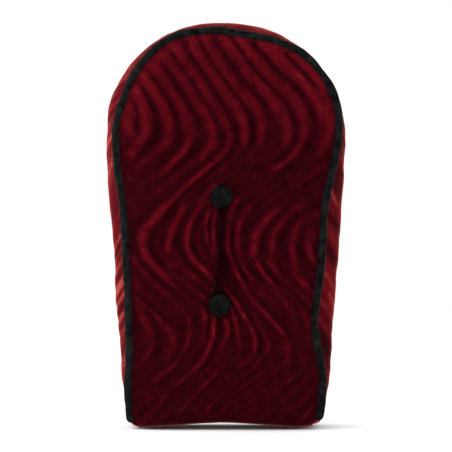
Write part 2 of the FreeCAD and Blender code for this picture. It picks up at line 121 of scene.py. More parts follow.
# How far the stuffed boxing swells out past the cut outline, by the same distance.
LEFT_SWELL = ((0, 2.5), (30, 2.5), (60, 3.5), (100, 2), (150, 0.5), (190, 2), (240, 3.5), (300, 3.5),
              (380, 5), (430, 5.5), (450, 4.5), (470, 2), (490, 0))
RIGHT_SWELL = ((0, 3), (25, 2.5), (60, -0.8), (140, -0.8), (180, 0), (230, 3.5), (300, 4.5), (370, 4.5),
               (435, 5.5), (460, 2), (480, 0))
PIPING_END = 470.0  # where the piping ends, by the same distance
PIPING_RADIUS = 4.0
PIPING_TAIL = 9.0  # how far the piping's cover runs on past its end, back into the seam
CORD_TAIL = 3.0  # how far the cord inside it does
BOXING_OPEN = 80.0  # half the width that the boxing leaves open under the pad
END_TUCKED = CORNER_END - 10.0  # from here on the boxing's ends lie inside the front velvet's turn
BOXING_SLANT = 1.3  # how far puckers run along the boxing for each millimetre towards the back
CREASE_PITCH = 15.5
ARCH_RUN = 97.0  # how far along the outline the front velvet's arch reaches from the crown's top
ARCH_LOW = 270.0  # height where the folds start to broaden into bands
ARCH_BLEND = 60.0  # height over which they do
MIDDLE_Z = 190.0  # height from which the layers under the velvet spread
BUTTON_PULL = 10.0  # how deep the buttons are drawn in
TUCK_DEPTH = 4.2
UNDER_Z = 0.3  # height at which the velvet is turned under the pad
BEND_RADIUS = 3.0  # of the velvet round the board's back edge
FLAP_WIDTH = 24.0  # of the velvet stapled on the board's back

# The lower edge lifts off what the pad stands on: height at places across the pad.
EDGE_LIFT = ((-96, 0), (-88, 1), (-65, 3), (-35, 5), (0, 7), (45, 4), (75, 1.5), (86, 2.5), (96, 4))

# The pressed waves of the crushed velvet run down the pad and swing left and right: the swing's turning
# points as (height, sideways shift), and the shift-free places of the ridges across the pad.
WAVE_TURNS = ((-12, -62), (96, 26), (190, -45), (299, 45), (470, -45))
RIDGES = (-215, -192, -166, -141, -122, -101, -80, -60, -40, -24, -8, 6, 18, 34, 48, 60, 74, 90, 109, 129,
          150, 172, 195)
# The folds that stand out from the waves, each from top to bottom: how strong it is at its top and its
# bottom, its half width, and where it runs as (height, place across).
FOLDS = (
    (0.6, 0.5, 2.6, ((326, -97), (314, -95), (303, -97), (293, -92))),
    (0.7, 0.8, 3.8, ((343, -91), (329, -85), (316, -80), (301, -79), (293, -81), (284, -88), (272, -96))),
    (1.0, 0.3, 3.0, ((356, -83), (343, -75), (328, -65), (309, -57), (296, -55), (286, -60), (274, -75),
                     (256, -95))),
    (0.5, 0.7, 3.0, ((366, -75), (354, -65), (338, -55), (320, -44), (303, -37), (288, -36), (276, -43),
                     (259, -61))),
    (0.5, 0.7, 3.2, ((378, -64), (364, -53), (349, -43), (333, -32), (310, -17), (293, -11), (282, -13),
                     (268, -26))),
    (0.7, 0.4, 3.2, ((387, -52), (371, -43), (354, -30), (336, -20), (320, -10), (303, -1), (290, 3),
                     (281, 2))),
    (0.9, 1.0, 1.9, ((284, 3), (276, 0), (265, -13), (253, -27), (239, -43), (224, -57), (212, -69))),
    (1.0, 0.5, 3.8, ((226, -57), (212, -69), (200, -79), (188, -82), (177, -80), (163, -70), (147, -50))),
    (1.0, 1.0, 3.0, ((393, -34), (376, -27), (362, -18), (346, -6), (330, 4), (319, 12), (306, 18),
                     (284, 19))),
    (0.6, 0.4, 2.6, ((393, -24), (378, -13), (361, -3), (344, 9), (328, 24), (313, 33), (299, 36),
                     (281, 34))),
    (1.0, 0.7, 3.6, ((393, -3), (378, 7), (364, 17), (347, 31), (331, 46), (319, 55), (303, 62),
                     (284, 61))),
    (0.8, 0.6, 3.0, ((393, 12), (376, 23), (356, 40), (338, 60), (319, 74), (301, 79), (288, 77),
                     (272, 67), (256, 43))),
    (1.0, 0.4, 3.4, ((388, 36), (376, 49), (360, 64), (340, 83), (322, 94), (303, 102), (290, 102),
                     (270, 90))),
    (0.5, 0.5, 2.6, ((375, 67), (366, 79), (354, 88), (342, 98))),
    (0.3, 0.5, 1.8, ((268, 104), (260, 94), (248, 78), (234, 55))),
    (0.6, 0.9, 2.6, ((246, -8), (236, -18), (224, -26), (208, -35), (193, -39), (181, -38), (170, -32))),
    (0.8, 0.8, 2.8, ((176, -36), (165, -27), (158, -18), (150, -12.5))),
    (0.8, 0.6, 3.0, ((226, -41), (212, -47), (199, -54), (184, -58), (172, -58), (160, -47), (150, -30))),
    (1.0, 0.7, 1.4, ((228, -16), (213, -19), (199, -20), (187, -18), (174, -11))),
    (0.9, 0.8, 1.4, ((222, -10), (208, -12), (196, -12.5), (186, -11.7), (178, -9))),
    (0.6, 1.0, 2.6, ((232, 13), (221, 7), (208, 3), (192, 1), (178, 2))),
    (1.0, 1.0, 1.8, ((182, 1), (166, 7), (149, 15), (134, 23), (118, 38), (104, 51), (94, 59))),
    (0.8, 0.1, 3.0, ((92, 60), (84, 61.5), (72, 63), (58, 60))),
    (0.7, 0.9, 2.4, ((226, 28), (214, 17), (201, 12), (188, 11), (174, 13))),
    (0.7, 0.2, 2.0, ((176, 12), (159, 20), (146, 29), (134, 41), (118, 60))),
    (0.6, 0.9, 3.4, ((222, 54), (208, 40), (195, 30), (180, 27), (171, 28))),
    (0.8, 0.3, 2.2, ((174, 28), (161, 35), (149, 43), (134, 56), (119, 69), (108, 79))),
    (0.5, 0.5, 3.0, ((228, 80), (214, 63), (201, 50), (186, 45), (172, 44), (157, 52))),
    (0.4, 0.7, 3.0, ((216, 88), (200, 72), (184, 67), (168, 66), (154, 73), (140, 84))),
    (0.3, 0.5, 3.2, ((204, 92), (190, 87), (178, 83), (166, 87))),
    (0.7, 0.4, 2.0, ((178, -94), (164, -87), (151, -75), (139, -63), (131, -48))),
    (0.9, 0.7, 1.7, ((135, -92), (123, -80), (113, -68), (105, -61))),
    (0.4, 0.4, 3.0, ((106, -62), (98, -53), (88, -50), (76, -53), (64, -62))),
    (0.3, 0.8, 2.6, ((104, -76), (90, -71), (80, -74), (69, -82))),
    (0.7, 0.6, 2.0, ((112, -37), (98, -36), (84, -39), (71, -46), (59, -58), (48, -73))),
    (0.9, 0.3, 1.8, ((120, -22), (103, -21), (88, -23), (78, -28))),
    (0.9, 0.6, 2.0, ((120, -13), (106, -11.5), (91, -13), (74, -20), (61, -30), (50, -42))),
    (0.5, 0.6, 1.7, ((54, -38), (42, -52), (34, -60), (24, -68))),
    (0.6, 0.5, 1.8, ((118, 1), (100, 3), (88, -1), (78, -7))),
    (0.8, 0.5, 1.6, ((123, 5), (108, 10), (94, 12), (84, 13))),
    (1.0, 0.8, 1.8, ((151, -4), (138, 3), (124, 12), (111, 20), (99, 27), (86, 30), (76, 29))),
    (0.5, 0.4, 1.4, ((121, 24), (104, 34), (88, 42), (78, 44))),
    (0.3, 0.8, 1.5, ((84, 9), (70, 0), (54, -12), (38, -27), (26, -38), (14, -49))),
    (0.2, 0.8, 1.6, ((60, 27), (46, 10), (36, -3), (26, -12), (15, -21))),
    (0.4, 0.3, 1.6, ((69, 82), (54, 68), (44, 54), (33, 38))),
    (0.3, 0.5, 1.5, ((28, 90), (18, 84), (8, 75))),
)
# The tuck that joins the two buttons, as (height, place across).
TUCK_LINE = ((112, -14), (132, -13.5), (142, -10.5), (153, -7.5), (165, -5), (180, -4.5), (226, -4.5))


def smooth(t):
    """Rises from 0 to 1 with level ends as t goes from 0 to 1."""
    t = np.clip(t, 0, 1)
    return t * t * (3 - 2 * t)


def bell(t):
    """Gaussian of unit height and unit width."""
    return np.exp(-t * t)


def stations(at, table):
    """Value of a table of (place, value) at each place, with its corners eased by averaging nearby."""
    places, values = np.array(table, float).T
    spread = np.linspace(-1, 1, 9)
    weights = bell(spread * 1.5)
    eased = sum(w * np.interp(at + 16 * d, places, values) for w, d in zip(weights, spread))
    return eased / weights.sum()


def drift(seed, wavelength, *axes):
    """Smooth repeatable noise of about unit swing: a sum of plane waves of nearly one wavelength."""
    draw = np.random.default_rng(seed)
    total = 0.0
    for _ in range(9):
        heading = draw.normal(size=len(axes))
        heading = heading / np.linalg.norm(heading) * draw.uniform(0.6, 1.5) * 2 * math.pi / wavelength
        total = total + np.sin(sum(h * a for h, a in zip(heading, axes)) + draw.uniform(0, 2 * math.pi))
    return total / 3.0


def evened(values, times):
    """A grid of values with each averaged with its four neighbours, several times over."""
    for _ in range(times):
        wide = np.pad(values, 1, mode="edge")
        beside = wide[2:, 1:-1] + wide[:-2, 1:-1] + wide[1:-1, 2:] + wide[1:-1, :-2]
        values = (wide[1:-1, 1:-1] * 2 + beside) / 6
    return values


def outline(distance):
    """Silhouette of the pad at signed distances from the crown's top, right positive: place across, height,
    and the outward direction's turn from straight up. Crown arc, shoulder arc, straight side, corner arc and
    underside follow each other without a corner."""
    run = np.abs(distance)
    crown = run / CROWN_RADIUS
    shoulder = CROWN_TURN + (run - CROWN_END) / SHOULDER_RADIUS
    corner = SIDE_TURN + (run - SIDE_END) / CORNER_RADIUS
    down = run - SHOULDER_END
    parts = [run < CROWN_END, run < SHOULDER_END, run < SIDE_END, run < CORNER_END]
    across = np.select(parts, [
        CROWN_RADIUS * np.sin(crown),
        SHOULDER_CENTRE + SHOULDER_RADIUS * np.sin(shoulder),
        SIDE_START[0] - math.sin(SIDE_TAPER) * down,
        CORNER_CENTRE[0] + CORNER_RADIUS * np.sin(corner),
    ], CORNER_CENTRE[0] - (run - CORNER_END))
    height = np.select(parts, [
        HEIGHT - CROWN_RADIUS * (1 - np.cos(crown)),
        SHOULDER_HEIGHT + SHOULDER_RADIUS * np.cos(shoulder),
        SIDE_START[1] - math.cos(SIDE_TAPER) * down,
        CORNER_CENTRE[1] + CORNER_RADIUS * np.cos(corner),
    ], 0.0)
    turn = np.select(parts, [crown, shoulder, SIDE_TURN + 0 * run, corner], math.pi)
    side = np.where(distance < 0, -1.0, 1.0)
    return side * across, height, side * turn


def seam_inset(distance):
    """Distance of the piping's middle from the silhouette."""
    left, right = stations(-distance, LEFT_INSET), stations(distance, RIGHT_INSET)
    return np.where(distance < 0, left, right) + 0.35 * drift(3, 60, distance)


def inside_outline(distance, inset):
    """Points at that inset from the silhouette, as (place across, height)."""
    across, height, turn = outline(distance)
    return across - inset * np.sin(turn), height - inset * np.cos(turn)


def lifted(points):
    """Lifts the lower edge off the floor, most at the front, and fading out over 22 mm up, so the pad stands
    on its two lower corners."""
    x, y, z = np.moveaxis(points, -1, 0)
    behind = np.clip(y - SEAM_Y, 0, None)
    lift = stations(x, EDGE_LIFT) * (0.72 + 0.28 * np.exp(-behind / 20)) * np.exp(-np.clip(z, 0, None) / 22)
    return np.stack([x, y, z + lift], axis=-1)


def distance_to_seam(x, z):
    """Shortest distance of each point to the piping line, taken over closely spaced points on it."""
    along = np.linspace(-PIPING_END, PIPING_END, 700)
    seam_x, seam_z = inside_outline(along, seam_inset(along))
    flat_x, flat_z = x.ravel(), z.ravel()
    nearest = [
        np.sqrt(((flat_x[part, None] - seam_x) ** 2 + (flat_z[part, None] - seam_z) ** 2).min(axis=1))
        for part in np.array_split(np.arange(flat_x.size), 1 + flat_x.size // 8000)
    ]
    return np.concatenate(nearest).reshape(x.shape)


def crown_height(x, z, gap):
    """How far the stuffed front stands in front of the seam line: it rises fast beside the piping, then
    slowly to the middle, and is drawn in at the two buttons."""
    away = np.clip(gap, 0, None)
    rise = 7.0 * (1 - np.exp(-away / 8)) + 3.2 * (1 - np.exp(-away / 50)) - 1.0
    for centre in BUTTONS.values():
        reach = np.hypot(x - centre[0], z - centre[2])
        rise = rise - BUTTON_PULL * (1 - smooth((reach - 9) / 24)) ** 1.4
    return rise


def tuck(x, z):
    """The fold between the buttons, a sharp valley that is steeper on its left: its depth, how strong it is
    at that height, and the distance to its line."""
    reach = smooth((z - 112) / 22) * (1 - smooth((z - 214) / 16))
    beside = x - stations(z, TUCK_LINE)
    valley = np.where(beside < 0, np.exp(beside / 2.2), np.exp(-beside / (5 + 4 * smooth((185 - z) / 35))))
    return TUCK_DEPTH * reach * valley, reach, beside


def wave_field(x, z):
    """The pressed waves: which ridge each point lies on, counted along the ridges' places across the pad
    after the swing at that height is taken off."""
    places, shifts = np.array(WAVE_TURNS, float).T
    bay = np.clip(np.searchsorted(places, z) - 1, 0, len(places) - 2)
    share = np.clip((z - places[bay]) / (places[bay + 1] - places[bay]), 0, 1)
    shift = shifts[bay] + (shifts[bay + 1] - shifts[bay]) * (1 - np.cos(math.pi * share)) / 2
    wander = 2.6 * drift(11, 95, x, z) + 0.9 * drift(12, 34, x, z)
    return np.interp(x - shift + wander, RIDGES, np.arange(len(RIDGES)))


def fold_relief(x, z):
    """Height and shade of the folds, each from 0 to 1. A fold's line is its eased list of places, and across
    it lies a rounded ridge between two darker hollows, which fade at its ends. In the arch the folds are
    broad bands instead, which meet in narrow hollows halfway between neighbouring lines."""
    ridge, hollow = np.zeros_like(x), np.zeros_like(x)
    nearest, second = np.full_like(x, 1000.0), np.full_like(x, 1000.0)
    arch = smooth((z - ARCH_LOW) / ARCH_BLEND)
    spread = 1.1 + 0.5 * arch
    for top, bottom, half_width, places in FOLDS:
        heights, across = np.array(places[::-1], float).T
        line = sum(w * np.interp(z + 4 * d, heights, across) for w, d in ((0.25, -1), (0.5, 0), (0.25, 1)))
        lean = (np.interp(z + 6, heights, across) - np.interp(z - 6, heights, across)) / 12
        beside = (x - line) / np.sqrt(1 + lean ** 2) / half_width / spread
        ends = smooth((z - heights[0] + 4) / 9) * smooth((heights[-1] + 4 - z) / 9)
        share = np.clip((z - heights[0]) / (heights[-1] - heights[0]), 0, 1)
        uneven = 0.9 + 0.2 * drift(25, 13, z, across[0] + 0 * z)
        strength = ends * (bottom + (top - bottom) * share) * uneven
        ridge = np.maximum(ridge, strength * bell(beside / np.where(beside < 0, 1.25, 0.85)))
        both_sides = bell((beside - 2.0) / 1.1) + 0.6 * bell((beside + 2.2) / 1.1)
        hollow = np.maximum(hollow, strength * both_sides)
        reach = np.abs(beside) * half_width * spread / np.maximum(smooth(ends * 2), 0.02)
        second = np.minimum(second, np.maximum(nearest, reach))
        nearest = np.minimum(nearest, reach)
    share = nearest / (nearest + second)
    band = (1 - smooth((share - 0.2) / 0.22)) * smooth((15 - nearest) / 6)
    gap = 0.7 * smooth((share - 0.34) / 0.14) * smooth((14 - nearest) / 6)
    ridge = ridge + arch * (0.42 * ridge + 0.38 * band - ridge)
    hollow = hollow * (1 - ridge)
    hollow = hollow + arch * (gap - hollow)
    return evened(ridge, 3), evened(hollow, 3)


def pressed_waves(x, z):
    """Relief of the pressed waves and the colour value on them, both about 0 to 1: faint waves all over,
    with a soft left flank and a steep right one, and the stronger folds on top of them. The colour value is
    the lie of the pile with painted light in it: painted highlight on the ridges, painted shade in the
    hollows, and lighter towards the top and darker near the bottom as painted light from above."""
    count = wave_field(x, z)
    phase = count - np.round(count)
    faint = bell(phase / np.where(phase < 0, 0.3, 0.2)) - 0.4
    # The faint waves weaken towards the arch, right of the upper button, and near the bottom.
    broad = smooth((z - 200) / 120)
    calm = bell((z - 244) / 36) * smooth((x + 8) / 30)
    low = 1 - smooth((z - 30) / 80)
    weaker = (1 - 0.6 * calm) * (1 - 0.35 * low) * (1 - 0.6 * broad)
    strength = np.clip(0.22 + 0.14 * drift(22, 80, x, z), 0.05, 0.4) * weaker
    ridge, hollow = fold_relief(x, z)
    relief = ridge - 0.4 * hollow + strength * faint
    # Painted light: the ridges are lightened as painted highlight and the hollows darkened as painted shade,
    # on top of the lie of the pile.
    pile_lay_and_painted_light = 0.31 + (0.46 - 0.14 * broad) * ridge - (0.28 + 0.1 * broad) * hollow + 0.7 * strength * faint
    # Random patches of pile lie; lighter towards the top and darker near the bottom as painted light from
    # above; darker right of the upper button.
    pile_lay_and_painted_light = pile_lay_and_painted_light + 0.04 * drift(24, 18, x, z) + 0.04 * broad - 0.06 * calm - 0.03 * low
    return relief, np.clip(pile_lay_and_painted_light, 0, 0.82)


def gathers(x, z):
    """Eleven small folds that fan out from under each button, strongest below it."""
    folds = 0.0
    for number, centre in enumerate(BUTTONS.values()):
        reach = np.hypot(x - centre[0], z - centre[2])
        angle = np.arctan2(x - centre[0], z - centre[2])
        fan = np.cos(11 * angle + 1.3 * drift(31 + number, 2.2, angle))
        folds = folds + fan * bell((reach - 16) / 7.5) * (0.35 + 0.65 * smooth(-np.cos(angle)))
    return folds


def grid_object(name, points, wrap=False, weld=False, layers=None, cut=None):
    """Makes an object from a grid of points (rows, columns, 3) in millimetres with four-sided faces between
    neighbours. wrap joins the last column to the first, weld merges points that coincide at seams and poles,
    layers are named values, one per point, that materials read, and faces whose points are all cut are left
    out."""
    rows, columns, _ = points.shape
    index = np.arange(rows * columns).reshape(rows, columns)
    near = index if wrap else index[:, :-1]
    far = np.roll(index, -1, axis=1) if wrap else index[:, 1:]
    faces = np.stack([near[:-1], far[:-1], far[1:], near[1:]], axis=-1).reshape(-1, 4)
    if cut is not None:
        faces = faces[~cut.ravel()[faces].all(axis=1)]
    mesh = bpy.data.meshes.new(name)
    mesh.vertices.add(rows * columns)
    mesh.vertices.foreach_set("co", (points * MM).astype(np.float32).ravel())
    mesh.loops.add(faces.size)
    mesh.loops.foreach_set("vertex_index", faces.astype(np.int32).ravel())
    mesh.polygons.add(len(faces))
    mesh.polygons.foreach_set("loop_start", np.arange(0, faces.size, 4, dtype=np.int32))
    mesh.polygons.foreach_set("use_smooth", np.ones(len(faces), bool))
    mesh.update(calc_edges=True)
    for layer, values in (layers or {}).items():
        attribute = mesh.attributes.new(layer, "FLOAT", "POINT")
        attribute.data.foreach_set("value", np.ascontiguousarray(values, np.float32).ravel())
    if weld:
        shape = bmesh.new()
        shape.from_mesh(mesh)
        bmesh.ops.remove_doubles(shape, verts=shape.verts, dist=1e-6)
        loose = [point for point in shape.verts if not point.link_faces]
        bmesh.ops.delete(shape, geom=loose, context="VERTS")
        shape.to_mesh(mesh)
        shape.free()
    mesh.validate()
    made = bpy.data.objects.new(name, mesh)
    bpy.context.scene.collection.objects.link(made)
    return made


def finish_piece(piece, material, replaces):
    """Gives a piece its material, hides the CAD nodes that it replaces, and lets it ride with the pad."""
    piece.data.materials.clear()
    piece.data.materials.append(material)
    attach(piece, "root")
    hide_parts(*replaces)
    return piece


def linear(colour):
    """An sRGB hex colour as the linear values that the sockets take."""
    parts = [int(colour[i:i + 2], 16) / 255 for i in (1, 3, 5)]
    return tuple(c / 12.92 if c <= 0.04045 else ((c + 0.055) / 1.055) ** 2.4 for c in parts) + (1.0,)


def hex_property(name, description, colour):
    """A colour setting with a hex default."""
    return bpy.props.FloatVectorProperty(
        name=name, description=description, default=linear(colour)[:3], subtype="COLOR", size=3, min=0, max=1)


def add_node(material, kind, inputs=None, **settings):
    """Adds one node with its settings; an input is given as a value or as the socket that feeds it."""
    node = material.node_tree.nodes.new(kind)
    for setting, value in settings.items():
        setattr(node, setting, value)
    for key, value in (inputs or {}).items():
        if isinstance(value, bpy.types.NodeSocket):
            material.node_tree.links.new(value, node.inputs[key])
        else:
            node.inputs[key].default_value = value
    return node


def new_material(name, **values):
    """A material with its shader's constants set on the shader's own sockets; one that is there already loses
    its textures first."""
    material = bpy.data.materials.get(name) or bpy.data.materials.new(name)
    material.use_nodes = True
    for node in list(material.node_tree.nodes):
        if node.name not in ("Principled BSDF", "Material Output"):
            material.node_tree.nodes.remove(node)
    for socket, value in values.items():
        material.node_tree.nodes["Principled BSDF"].inputs[socket.replace("_", " ")].default_value = value
    return material


def feed(material, socket, source):
    """Links a node's output to a socket of the material's shader."""
    material.node_tree.links.new(source, material.node_tree.nodes["Principled BSDF"].inputs[socket])


def texture(material, kind, inputs, stretch=None, **settings):
    """A texture over the piece's own place, in repeats per metre; stretch scales the axes first."""
    place = add_node(material, "ShaderNodeTexCoord").outputs["Object"]
    if stretch:
        place = add_node(material, "ShaderNodeMapping", {"Vector": place, "Scale": stretch}).outputs[0]
    return add_node(material, "ShaderNodeTex" + kind, {"Vector": place, **inputs}, **settings)


def ramp(material, factor, *stops):
    """A colour ramp with (place, colour) stops; a colour is a hex text or three linear values."""
    node = add_node(material, "ShaderNodeValToRGB", {"Fac": factor})
    elements = node.color_ramp.elements
    while len(elements) < len(stops):
        elements.new(0.5)
    for element, (place, colour) in zip(elements, stops):
        element.position = place
        element.color = linear(colour) if isinstance(colour, str) else tuple(colour) + (1.0,)
    return node.outputs["Color"]


def bumped(material, height, strength, depth):
    """Bumps the surface by a texture; depth is in metres."""
    bump = add_node(material, "ShaderNodeBump", {"Strength": strength, "Distance": depth, "Height": height})
    feed(material, "Normal", bump.outputs["Normal"])


def one_texture(material, source, dark, light, strength, depth):
    """Colours and bumps a material by the same texture: dark and light are the ramp's two stops."""
    feed(material, "Base Color", ramp(material, source, dark, light))
    bumped(material, source, strength, depth)
    return material


def arithmetic(material, operation, first, second):
    """One step of arithmetic on shader values."""
    return add_node(material, "ShaderNodeMath", {0: first, 1: second}, operation=operation).outputs[0]


def crushed_velvet(settings):
    """Crushed velvet, woven rayon pile pressed flat in waves: deep red where the pile faces the eye, lighter
    and dusty where it lies over, with painted highlight, painted shade and painted sheen mixed into the same
    colour value, the top colour a painted sheen, and a soft pink bloom at grazing angles from the shader's
    sheen."""
    material = new_material(
        "crushed_velvet", Roughness=1.0, Specular_IOR_Level=0.02, Sheen_Weight=1.0, Sheen_Roughness=0.3,
        Sheen_Tint=linear("#FF7A70"))
    total = add_node(material, "ShaderNodeAttribute", attribute_name="pile_lay_and_painted_light").outputs["Fac"]
    # Pile tufts are about 0.3 mm apart; they are drawn at 1.6 mm so that they show.
    pile = texture(material, "Noise", {"Scale": 620, "Detail": 2, "Roughness": 0.6}).outputs["Fac"]
    # Handled patches, about 16 mm across, where the pile leans a little more or less.
    patch = texture(material, "Noise", {"Scale": 62, "Detail": 3, "Roughness": 0.55}).outputs["Fac"]
    for source, share in ((pile, 0.75), (patch, 0.26)):
        leaning = arithmetic(material, "MULTIPLY", arithmetic(material, "SUBTRACT", source, 0.5), share)
        total = arithmetic(material, "ADD", total, leaning)
    # Colour by the value that holds the lie of the pile and painted light; the top stop is painted sheen.
    feed(material, "Base Color", ramp(
        material, total, (0.0, settings.velvet_dark), (0.36, settings.velvet_middle),
        (0.76, settings.velvet_light), (1.0, settings.velvet_painted_sheen)))
    bumped(material, pile, 0.35, 0.0004)
    return material


def velveteen(settings, name="black_velveteen", bloom=4.2):
    """Cotton velveteen, a short dense cut pile: near black, with a faint grey bloom in worn patches."""
    material = new_material(
        name, Roughness=0.9, Specular_IOR_Level=0.05, Sheen_Weight=0.1, Sheen_Roughness=0.35,
        Sheen_Tint=linear("#A8ACA8"))
    # Pile about 0.25 mm apart, drawn at 1 mm so that it shows.
    pile = texture(material, "Noise", {"Scale": 1000, "Detail": 2}).outputs["Fac"]
    worn = texture(material, "Noise", {"Scale": 110, "Detail": 4, "Roughness": 0.6}).outputs["Fac"]
    mixed = add_node(material, "ShaderNodeMix", {"Factor": 0.3, 2: worn, 3: pile}).outputs[0]
    dark, light = ([min(1.0, c * times) for c in settings.piping_colour] for times in (0.3, bloom))
    feed(material, "Base Color", ramp(material, mixed, (0.4, dark), (0.62, light)))
    bumped(material, pile, 0.4, 0.0003)
    return material


def dust_cloth():
    """Black spun-bonded dust cover: matte, thin, with a dimpled bond pattern."""
    material = new_material("black_cambric", Roughness=0.8, Specular_IOR_Level=0.3)
    fibres = texture(material, "Noise", {"Scale": 240, "Detail": 4}).outputs["Fac"]
    feed(material, "Base Color", ramp(material, fibres, (0.35, "#0E0E10"), (0.7, "#26262A")))
    # Bond points 1 mm apart, drawn at 1.6 mm so that they show.
    bumped(material, texture(material, "Voronoi", {"Scale": 620}).outputs["Distance"], 0.5, 0.0003)
    return material


def birch_plywood():
    """Sanded birch plywood: pale faces with long fine grain, and darker glue lines between the plies."""
    material = new_material("birch_plywood", Roughness=0.6, Specular_IOR_Level=0.35)
    grain = texture(material, "Noise", {"Scale": 1.0, "Detail": 5}, stretch=(130, 130, 9)).outputs["Fac"]
    face = ramp(material, grain, (0.3, "#A98155"), (0.7, "#D8BC92"))
    # Nine plies in 12 mm: a glue line about every 1.4 mm of depth.
    plies = texture(
        material, "Wave", {"Scale": 0.3, "Distortion": 0.4}, stretch=(0, 750, 0), bands_direction="Y")
    glue = ramp(material, plies.outputs["Fac"], (0.0, "#7A5A3A"), (0.25, "#FFFFFF"))
    mixed = add_node(material, "ShaderNodeMix", {"Factor": 1.0, "A": face, "B": glue},
                     data_type="RGBA", blend_type="MULTIPLY")
    feed(material, "Base Color", mixed.outputs["Result"])
    bumped(material, grain, 0.2, 0.0002)
    return material


def open_foam():
    """Cut polyurethane foam: cream, matte, pitted with open cells."""
    material = new_material("polyurethane_foam", Roughness=0.95, Specular_IOR_Level=0.2)
    # Cells are 0.6 mm across, drawn at 1.4 mm so that they show.
    cells = texture(material, "Voronoi", {"Scale": 700}).outputs["Distance"]
    return one_texture(material, cells, (0.0, "#B9A877"), (0.6, "#EFE3BE"), 0.7, 0.0005)


def lofty_wadding():
    """Bonded polyester wadding: white, fluffy, with loose curled fibres."""
    material = new_material("polyester_wadding", Roughness=0.95, Specular_IOR_Level=0.2, Sheen_Weight=0.3)
    curls = {"Scale": 260, "Detail": 6, "Roughness": 0.7, "Distortion": 2.5}
    fibres = texture(material, "Noise", curls).outputs["Fac"]
    return one_texture(material, fibres, (0.3, "#C9C9C4"), (0.6, "#F4F4F0"), 0.8, 0.0008)


def twisted_fibre(name, dark, light, pitch):
    """Twisted cotton cord or waxed twine: strands that run round it at a slant, pitch in millimetres."""
    material = new_material(name, Roughness=0.75, Specular_IOR_Level=0.3)
    # At a scale of 1 the wave texture repeats about every 0.32 m.
    twist = {"Scale": 0.32 / (pitch * MM), "Distortion": 1.5, "Detail": 2}
    strands = texture(material, "Wave", twist, bands_direction="DIAGONAL").outputs["Fac"]
    return one_texture(material, strands, (0.1, dark), (0.7, light), 0.6, 0.0003)


def plated_metal(name, dark, light, roughness):
    """Plated or stamped sheet metal: bright, with dull patches."""
    material = new_material(name, Metallic=1.0, Roughness=roughness)
    patches = texture(material, "Noise", {"Scale": 400, "Detail": 4}).outputs["Fac"]
    feed(material, "Base Color", ramp(material, patches, (0.3, dark), (0.7, light)))
    worn = add_node(material, "ShaderNodeMapRange",
                    {"Value": patches, "To Min": roughness - 0.1, "To Max": roughness + 0.15})
    feed(material, "Roughness", worn.outputs["Result"])
    return material


class BackPadSettings(bpy.types.PropertyGroup):
    """Sizes and colours of the pad's soft pieces."""

    # The velvet colours are picked by a value that holds the lie of the pile together with painted highlight,
    # painted shade and painted sheen.
    velvet_dark: hex_property("Velvet, dark", "Velvet where the pile faces the eye", "#120002")
    velvet_middle: hex_property("Velvet, middle", "Velvet on the slopes of the waves", "#2E0108")
    velvet_light: hex_property("Velvet, light", "Velvet where the pile lies over", "#5A0813")
    # Painted sheen: the salmon glow of the boxing's velvet at grazing angles, put into its colour.
    velvet_painted_sheen: hex_property("Velvet, bloom", "Velvet that is brushed up on the boxing", "#8C3A30")
    piping_colour: hex_property("Piping", "Velveteen of the piping and the buttons", "#090909")
    wave_height: bpy.props.FloatProperty(
        name="Wave height", description="How far the pressed waves stand out", default=1.2 * MM,
        min=0, max=4 * MM, unit="LENGTH")
    pucker_depth: bpy.props.FloatProperty(
        name="Pucker depth", description="Depth of the puckers across the side boxing", default=1.1 * MM,
        min=0, max=3 * MM, unit="LENGTH")
    piping_wobble: bpy.props.FloatProperty(
        name="Piping wobble", description="Lumpiness of the piping", default=0.3 * MM,
        min=0, max=1 * MM, unit="LENGTH")


class StageSettings(bpy.types.PropertyGroup):
    """Floor, lights and camera."""

    floor_colour: hex_property("Floor", "Paper sweep that the pad stands on", "#FCFCFC")
    camera_distance: bpy.props.FloatProperty(
        name="Camera distance", description="Camera to the pad's front", default=2.0, min=0.5, unit="LENGTH")
    lens: bpy.props.FloatProperty(
        name="Lens", description="Focal length", default=160.0, min=20, max=400, unit="CAMERA")


def front_surface(across, up):
    """The front velvet before it is stuffed, on a grid with across and up from 0 to 1, as (place across,
    height): a patch blended from the two sides of the piping line, its arch, and the straight foot between
    its ends."""
    u, v = np.meshgrid(across, up)

    def seam_side(share, sign):
        """One side of the piping line, from its lower end (share 0) up to the arch (share 1)."""
        distance = sign * (PIPING_END - (PIPING_END - ARCH_RUN) * share)
        return np.stack(inside_outline(distance, seam_inset(distance)))

    along_arch = (2 * u - 1) * ARCH_RUN
    arch = inside_outline(along_arch, seam_inset(along_arch))
    left, right = seam_side(v, -1.0), seam_side(v, 1.0)
    corner = {(i, j): seam_side(np.float64(j), 2.0 * i - 1) for i in (0, 1) for j in (0, 1)}
    foot = [start + (end - start) * u for start, end in zip(corner[0, 0], corner[1, 0])]
    return [
        (1 - v) * foot[k] + v * arch[k] + (1 - u) * left[k] + u * right[k]
        - (1 - u) * (1 - v) * corner[0, 0][k] - u * (1 - v) * corner[1, 0][k]
        - (1 - u) * v * corner[0, 1][k] - u * v * corner[1, 1][k]
        for k in (0, 1)
    ]


